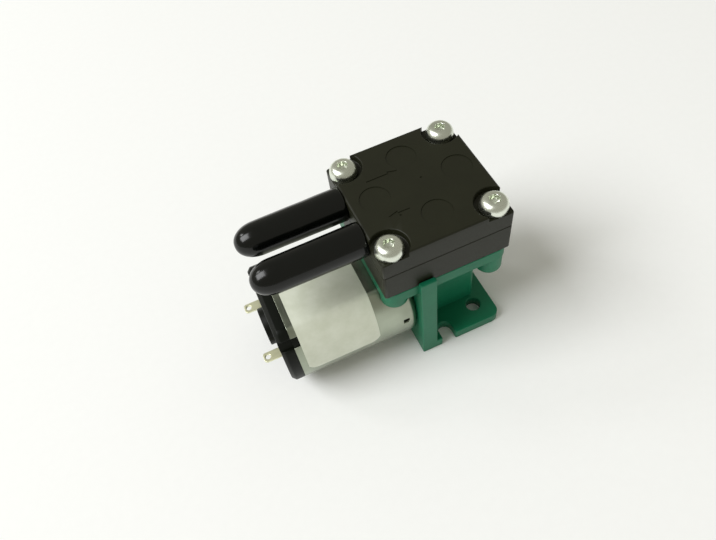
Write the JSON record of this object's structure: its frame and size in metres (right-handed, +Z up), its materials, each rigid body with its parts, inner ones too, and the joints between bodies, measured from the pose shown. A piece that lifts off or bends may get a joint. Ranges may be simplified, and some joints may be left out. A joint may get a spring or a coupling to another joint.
{
  "type": "mini diaphragm air pump",
  "caption": "Miniature diaphragm air pump: flat-sided DC motor, moulded housing with screw feet, two-layer square head and two capped hose ports.",
  "frame": {"origin": "On the base plane that the feet stand on, under the middle of the diaphragm and head.", "axes": "+X runs along the motor shaft from the motor to the open front of the crankcase, +Y to the inlet port's side, +Z up from the feet to the head."},
  "size_m": [0.0408, 0.0228, 0.0303],
  "materials": {
    "housing_plastic": "moulded green plastic with a soft sheen",
    "head_plastic": "moulded black plastic, finely textured",
    "end_cap_plastic": "moulded black plastic",
    "can_steel": "nickel-plated drawn steel with fine marks round the can",
    "screw_steel": "bright zinc-plated steel",
    "terminal_metal": "tinned brass",
    "brush_metal": "phosphor bronze leaf",
    "label_paper": "bare satin film label",
    "cap_rubber": "smooth glossy black rubber",
    "soft_rubber": "matt black rubber",
    "steel": "ground steel",
    "bearing_steel": "polished bearing steel",
    "brass": "turned brass",
    "bush_bronze": "sintered bronze",
    "magnet_ferrite": "dark ferrite",
    "core_steel": "stacked steel laminations",
    "copper_wire": "enamelled copper wire",
    "rod_plastic": "natural white moulded plastic"
  },
  "bodies": {
    "root": {"housing": "housing_plastic", "motor_can": "can_steel", "motor_end_cap": "end_cap_plastic", "motor_screws": "screw_steel", "front_bush": "bush_bronze", "rear_bush": "bush_bronze", "field_magnet_left": "magnet_ferrite", "field_magnet_right": "magnet_ferrite", "terminal_left": "terminal_metal", "terminal_right": "terminal_metal", "brush_left": "brush_metal", "brush_right": "brush_metal", "rating_label": "label_paper", "head_base": "head_plastic", "head_cover": "head_plastic", "head_screws": "screw_steel", "valve_seals": "soft_rubber", "diaphragm": "soft_rubber"},
    "rotor": {"motor_shaft": "steel", "armature_core": "core_steel", "armature_windings": "copper_wire", "commutator": "copper_wire", "eccentric": "brass", "pin_retainer": "steel", "bearing_inner_ring": "bearing_steel"},
    "ball_set": {"bearing_balls": "bearing_steel"},
    "rod": {"bearing_outer_ring": "bearing_steel", "connecting_rod": "rod_plastic", "pressure_disc": "rod_plastic", "diaphragm_screw": "screw_steel"},
    "inlet_disc": {"inlet_valve": "soft_rubber"},
    "outlet_disc": {"outlet_valve": "soft_rubber"},
    "inlet_cap": {"inlet_cap": "cap_rubber"},
    "outlet_cap": {"outlet_cap": "cap_rubber"}
  },
  "joints": [
    {"name": "motor_spin", "type": "hinge", "parent": "root", "child": "rotor", "pos_m": [0, 0, 0.01005], "axis": [1, 0, 0], "continuous": true, "deforming": ["diaphragm"]},
    {"name": "crank_pin", "type": "hinge", "parent": "rotor", "child": "rod", "pos_m": [0, 0, 0.01075], "axis": [1, 0, 0], "continuous": true},
    {"name": "ball_roll", "type": "hinge", "parent": "rotor", "child": "ball_set", "pos_m": [0, 0, 0.01075], "axis": [1, 0, 0], "continuous": true},
    {"name": "inlet_valve_lift", "type": "slide", "parent": "root", "child": "inlet_disc", "axis": [0, 0, 1], "range_m": [0, 0.0005]},
    {"name": "outlet_valve_lift", "type": "slide", "parent": "root", "child": "outlet_disc", "axis": [0, 0, 1], "range_m": [0, 0.0005]},
    {"name": "inlet_cap_pull", "type": "slide", "parent": "root", "child": "inlet_cap", "axis": [-1, 0, 0], "range_m": [0, 0.011]},
    {"name": "outlet_cap_pull", "type": "slide", "parent": "root", "child": "outlet_cap", "axis": [-1, 0, 0], "range_m": [0, 0.011]}
  ],
  "couplings": [
    {"joint": "crank_pin", "follows": "motor_spin", "ratio": -1},
    {"joint": "ball_roll", "follows": "motor_spin", "ratio": -0.643}
  ]
}
